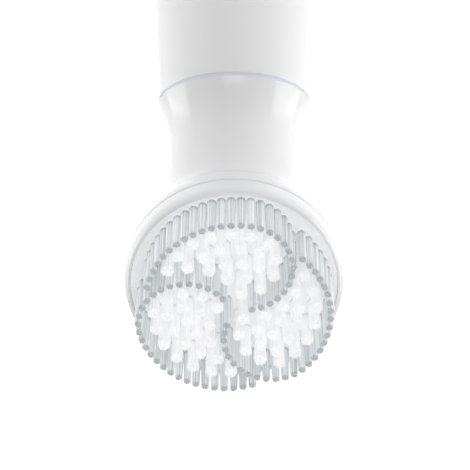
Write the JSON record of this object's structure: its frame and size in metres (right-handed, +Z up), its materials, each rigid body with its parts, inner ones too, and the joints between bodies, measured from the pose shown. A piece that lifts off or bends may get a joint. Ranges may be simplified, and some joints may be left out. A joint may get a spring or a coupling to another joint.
{
  "type": "facial cleansing brush",
  "caption": "Upright battery facial cleansing brush with a tilted rotating round head of swirled clear and white bristle tufts.",
  "frame": {"origin": "centre of the flat bottom face that the handle stands on", "axes": "+Z up along the handle axis, -Y the side that the bristles face, +X to the right when the bristles are seen from -Y with the handle down"},
  "size_m": [0.0536, 0.0555, 0.1783],
  "materials": {
    "gloss_shell": "smooth high-gloss white ABS",
    "plate_plastic": "gloss white bristle plate",
    "gear_plastic": "natural acetal",
    "seam_band": "soft lavender elastomer band",
    "satin_trim": "satin chrome ring",
    "clear_window": "clear light window",
    "frame_plastic": "light grey moulded plastic",
    "steel": "bright drawn steel",
    "seal_rubber": "dark silicone rubber",
    "bronze": "sintered bronze",
    "contact_metal": "plated spring contact metal",
    "board_green": "green solder-masked laminate",
    "switch_black": "black switch housing",
    "lamp_body": "moulded lamp lens",
    "cell_jacket": "printed metal cell jacket, plain",
    "button_plastic": "satin pale lavender plastic",
    "clear_bristle": "translucent nylon filaments",
    "white_bristle": "fine white nylon filaments"
  },
  "bodies": {
    "casing": {"neck_housing": "gloss_shell", "handle_shell": "gloss_shell", "seam_ring": "seam_band", "button_bezel": "satin_trim", "lamp_window": "clear_window", "gearbox_base": "frame_plastic", "drive_deck": "frame_plastic", "deck_screws": "steel", "spindle_seal": "seal_rubber", "upper_bush": "bronze", "lower_bush": "bronze", "motor_can": "steel", "motor_sleeve": "seal_rubber", "motor_terminals": "contact_metal", "idler_pin": "steel", "chassis": "frame_plastic", "circuit_board": "board_green", "tact_switch": "switch_black", "status_lamp": "lamp_body", "battery_cells": "cell_jacket", "top_contacts": "contact_metal"},
    "spindle": {"output_spindle": "steel", "output_gear": "gear_plastic"},
    "idler": {"idler_gear": "gear_plastic"},
    "rotor": {"motor_shaft": "steel", "motor_pinion": "bronze"},
    "brush_head": {"brush_plate": "plate_plastic", "brush_rim": "gloss_shell", "drive_socket": "gear_plastic", "clear_tufts_a": "clear_bristle", "clear_tufts_b": "clear_bristle", "clear_tufts_c": "clear_bristle", "white_tufts_a": "white_bristle", "white_tufts_b": "white_bristle", "white_tufts_c": "white_bristle"},
    "button": {"power_button": "button_plastic"},
    "cap": {"bottom_cap": "gloss_shell", "cap_contact": "contact_metal", "cap_seal": "seal_rubber"}
  },
  "joints": [
    {"name": "spindle_turn", "type": "hinge", "parent": "casing", "child": "spindle", "pos_m": [0, 0, 0.145], "axis": [0, -0.6561, 0.7547], "continuous": true},
    {"name": "idler_turn", "type": "hinge", "parent": "casing", "child": "idler", "pos_m": [0.00991, -0.00575, 0.14], "axis": [0, -0.6561, 0.7547], "continuous": true},
    {"name": "motor_turn", "type": "hinge", "parent": "casing", "child": "rotor", "pos_m": [0, -0.00679, 0.13909], "axis": [0, -0.6561, 0.7547], "continuous": true},
    {"name": "brush_pull", "type": "slide", "parent": "spindle", "child": "brush_head", "axis": [0, -0.6561, 0.7547], "range_m": [0, 0.015]},
    {"name": "button_press", "type": "slide", "parent": "casing", "child": "button", "axis": [0, 1, 0], "range_m": [0, 0.0008], "stiffness_N_per_m": 800, "springref_m": -0.001},
    {"name": "cap_pull", "type": "slide", "parent": "casing", "child": "cap", "axis": [0, 0, -1], "range_m": [0, 0.03]}
  ],
  "couplings": [
    {"joint": "idler_turn", "follows": "spindle_turn", "ratio": -3.1667},
    {"joint": "motor_turn", "follows": "spindle_turn", "ratio": 7.3889}
  ]
}
